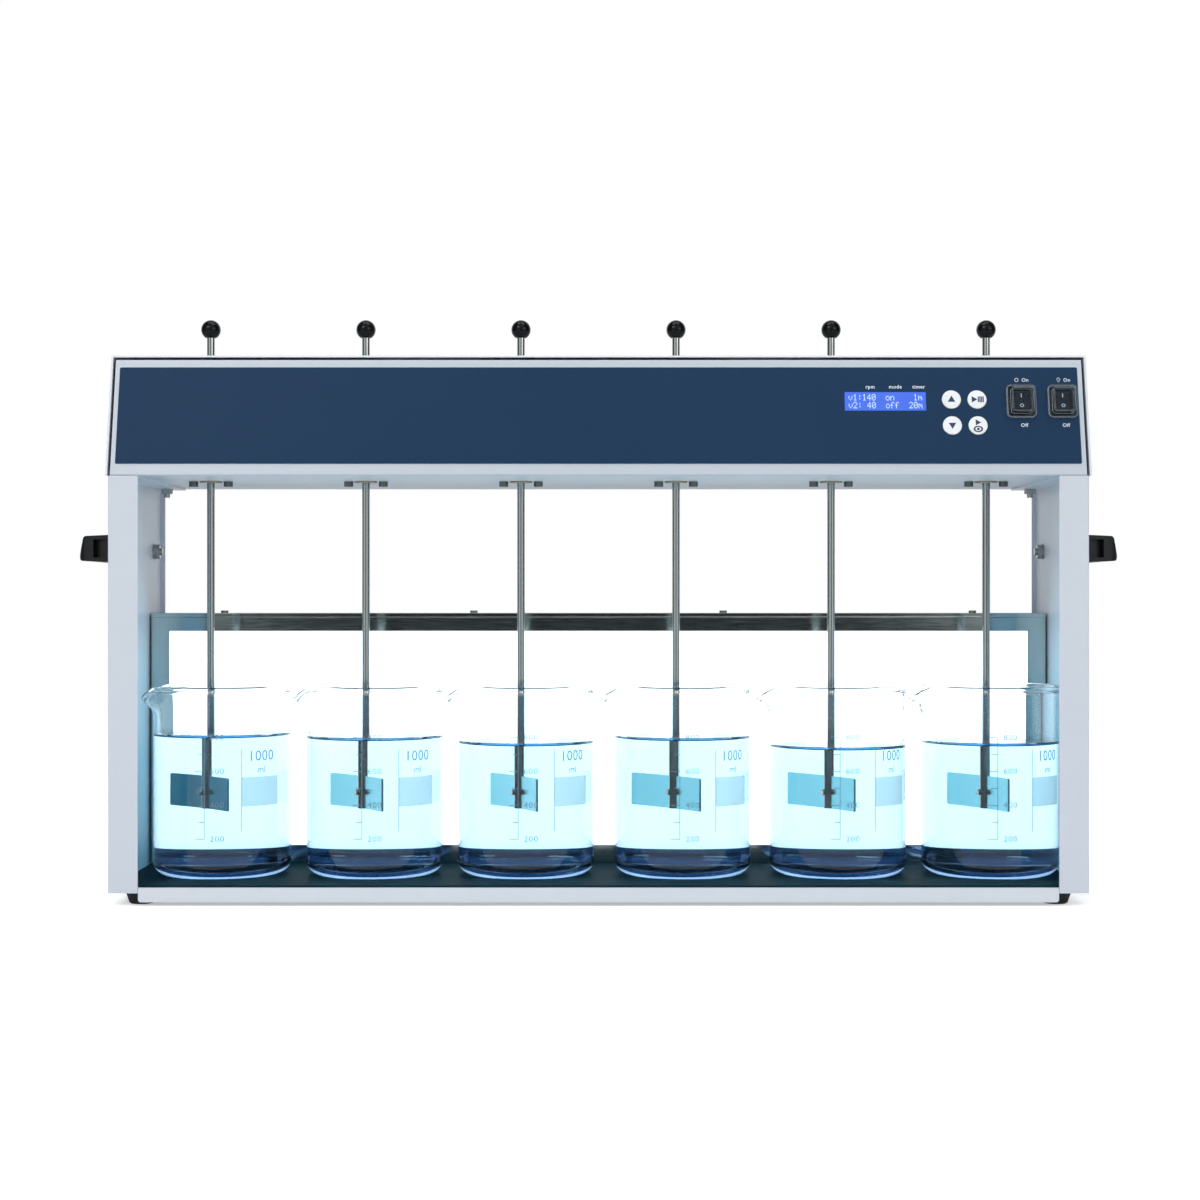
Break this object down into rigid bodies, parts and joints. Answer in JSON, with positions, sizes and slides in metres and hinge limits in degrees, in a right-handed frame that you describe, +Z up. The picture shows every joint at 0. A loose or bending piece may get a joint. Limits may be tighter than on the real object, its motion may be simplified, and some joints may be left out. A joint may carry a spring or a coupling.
{
  "type": "jar tester",
  "caption": "Bench stirring frame that turns a row of lift-up paddles in glass beakers before a light panel, with sliding rods, keys and covered rocker switches.",
  "frame": {"origin": "on the bench, under the middle of the body", "axes": "+X to the right seen from the front, +Y from the front to the back, +Z up"},
  "size_m": [0.7894, 0.1861, 0.442],
  "materials": {
    "enamel": "light grey powder coat",
    "rail_enamel": "white powder coat",
    "label_film": "printed film",
    "black_moulding": "moulded",
    "black_ball": "polished",
    "foot_rubber": "moulded",
    "mat_rubber": "smooth",
    "stainless": "brushed",
    "zinc_steel": "zinc plated",
    "bearing_bronze": "turned",
    "drum_aluminium": "turned",
    "rail_aluminium": "sawn",
    "beaker_glass": "clear",
    "clear_cover": "clear",
    "key_cap": "satin",
    "board": "solder mask",
    "opal_sheet": "opal, lit from behind",
    "display_glass": "backlit",
    "led_board": "white solder mask"
  },
  "bodies": {
    "frame": {"base_tray": "rail_enamel", "deck_mat": "mat_rubber", "side_panel_left": "enamel", "side_panel_right": "enamel", "feet": "foot_rubber", "handle_left": "black_moulding", "handle_right": "black_moulding", "handle_nuts": "zinc_steel", "head_bolts": "zinc_steel", "head_tray": "enamel", "head_hood": "enamel", "hood_screws": "zinc_steel", "rod_guides": "black_moulding", "fascia_label": "label_film", "display": "display_glass", "switch_bezels": "black_moulding", "switch_covers": "clear_cover", "control_board": "board", "power_supply": "rail_aluminium", "power_inlet": "black_moulding", "light_housing": "stainless", "light_diffuser": "opal_sheet", "led_bars": "led_board", "light_screws": "zinc_steel", "bearing_blocks": "bearing_bronze", "bearing_screws": "zinc_steel", "bearing_rail": "rail_aluminium", "motor": "zinc_steel", "drive_belts": "foot_rubber", "jar_1": "beaker_glass", "jar_2": "beaker_glass", "jar_3": "beaker_glass", "jar_4": "beaker_glass", "jar_5": "beaker_glass", "jar_6": "beaker_glass"},
    "motor_pulley": {"motor_pulley": "drum_aluminium"},
    "spindle_1": {"spindle_1": "drum_aluminium"},
    "stirrer_1": {"stirrer_1": "stainless", "knob_1": "black_ball"},
    "spindle_2": {"spindle_2": "drum_aluminium"},
    "stirrer_2": {"stirrer_2": "stainless", "knob_2": "black_ball"},
    "spindle_3": {"spindle_3": "drum_aluminium"},
    "stirrer_3": {"stirrer_3": "stainless", "knob_3": "black_ball"},
    "spindle_4": {"spindle_4": "drum_aluminium"},
    "stirrer_4": {"stirrer_4": "stainless", "knob_4": "black_ball"},
    "spindle_5": {"spindle_5": "drum_aluminium"},
    "stirrer_5": {"stirrer_5": "stainless", "knob_5": "black_ball"},
    "spindle_6": {"spindle_6": "drum_aluminium"},
    "stirrer_6": {"stirrer_6": "stainless", "knob_6": "black_ball"},
    "key_up": {"key_up": "key_cap"},
    "key_down": {"key_down": "key_cap"},
    "key_run": {"key_run": "key_cap"},
    "key_view": {"key_view": "key_cap"},
    "rocker_power": {"rocker_power": "black_moulding"},
    "rocker_light": {"rocker_light": "black_moulding"}
  },
  "joints": [
    {"name": "spindle_1_spin", "type": "hinge", "parent": "frame", "child": "spindle_1", "pos_m": [-0.3, -0.016, 0.317], "axis": [0, 0, 1], "continuous": true},
    {"name": "stirrer_1_lift", "type": "slide", "parent": "spindle_1", "child": "stirrer_1", "axis": [0, 0, 1], "range_m": [-0.018, 0.2]},
    {"name": "spindle_2_spin", "type": "hinge", "parent": "frame", "child": "spindle_2", "pos_m": [-0.18, -0.016, 0.317], "axis": [0, 0, 1], "continuous": true},
    {"name": "stirrer_2_lift", "type": "slide", "parent": "spindle_2", "child": "stirrer_2", "axis": [0, 0, 1], "range_m": [-0.018, 0.2]},
    {"name": "spindle_3_spin", "type": "hinge", "parent": "frame", "child": "spindle_3", "pos_m": [-0.06, -0.016, 0.317], "axis": [0, 0, 1], "continuous": true},
    {"name": "stirrer_3_lift", "type": "slide", "parent": "spindle_3", "child": "stirrer_3", "axis": [0, 0, 1], "range_m": [-0.018, 0.2]},
    {"name": "spindle_4_spin", "type": "hinge", "parent": "frame", "child": "spindle_4", "pos_m": [0.06, -0.016, 0.317], "axis": [0, 0, 1], "continuous": true},
    {"name": "stirrer_4_lift", "type": "slide", "parent": "spindle_4", "child": "stirrer_4", "axis": [0, 0, 1], "range_m": [-0.018, 0.2]},
    {"name": "spindle_5_spin", "type": "hinge", "parent": "frame", "child": "spindle_5", "pos_m": [0.18, -0.016, 0.317], "axis": [0, 0, 1], "continuous": true},
    {"name": "stirrer_5_lift", "type": "slide", "parent": "spindle_5", "child": "stirrer_5", "axis": [0, 0, 1], "range_m": [-0.018, 0.2]},
    {"name": "spindle_6_spin", "type": "hinge", "parent": "frame", "child": "spindle_6", "pos_m": [0.3, -0.016, 0.317], "axis": [0, 0, 1], "continuous": true},
    {"name": "stirrer_6_lift", "type": "slide", "parent": "spindle_6", "child": "stirrer_6", "axis": [0, 0, 1], "range_m": [-0.018, 0.2]},
    {"name": "motor_spin", "type": "hinge", "parent": "frame", "child": "motor_pulley", "pos_m": [-0.24, 0.026, 0.347], "axis": [0, 0, 1], "continuous": true},
    {"name": "key_up_press", "type": "slide", "parent": "frame", "child": "key_up", "axis": [0, 0.9756, -0.2198], "range_m": [0, 0.0005], "stiffness_N_per_m": 2000, "springref_m": -0.0002},
    {"name": "key_down_press", "type": "slide", "parent": "frame", "child": "key_down", "axis": [0, 0.9756, -0.2198], "range_m": [0, 0.0005], "stiffness_N_per_m": 2000, "springref_m": -0.0002},
    {"name": "key_run_press", "type": "slide", "parent": "frame", "child": "key_run", "axis": [0, 0.9756, -0.2198], "range_m": [0, 0.0005], "stiffness_N_per_m": 2000, "springref_m": -0.0002},
    {"name": "key_view_press", "type": "slide", "parent": "frame", "child": "key_view", "axis": [0, 0.9756, -0.2198], "range_m": [0, 0.0005], "stiffness_N_per_m": 2000, "springref_m": -0.0002},
    {"name": "rocker_power_rock", "type": "hinge", "parent": "frame", "child": "rocker_power", "pos_m": [0.3135, -0.08152, 0.37253], "axis": [1, 0, 0], "range_deg": [0, 16]},
    {"name": "rocker_light_rock", "type": "hinge", "parent": "frame", "child": "rocker_light", "pos_m": [0.3442, -0.08152, 0.37253], "axis": [1, 0, 0], "range_deg": [0, 16]}
  ],
  "couplings": [
    {"joint": "spindle_2_spin", "follows": "spindle_1_spin", "ratio": 1},
    {"joint": "spindle_3_spin", "follows": "spindle_1_spin", "ratio": 1},
    {"joint": "spindle_4_spin", "follows": "spindle_1_spin", "ratio": 1},
    {"joint": "spindle_5_spin", "follows": "spindle_1_spin", "ratio": 1},
    {"joint": "spindle_6_spin", "follows": "spindle_1_spin", "ratio": 1},
    {"joint": "motor_spin", "follows": "spindle_1_spin", "ratio": 2}
  ]
}
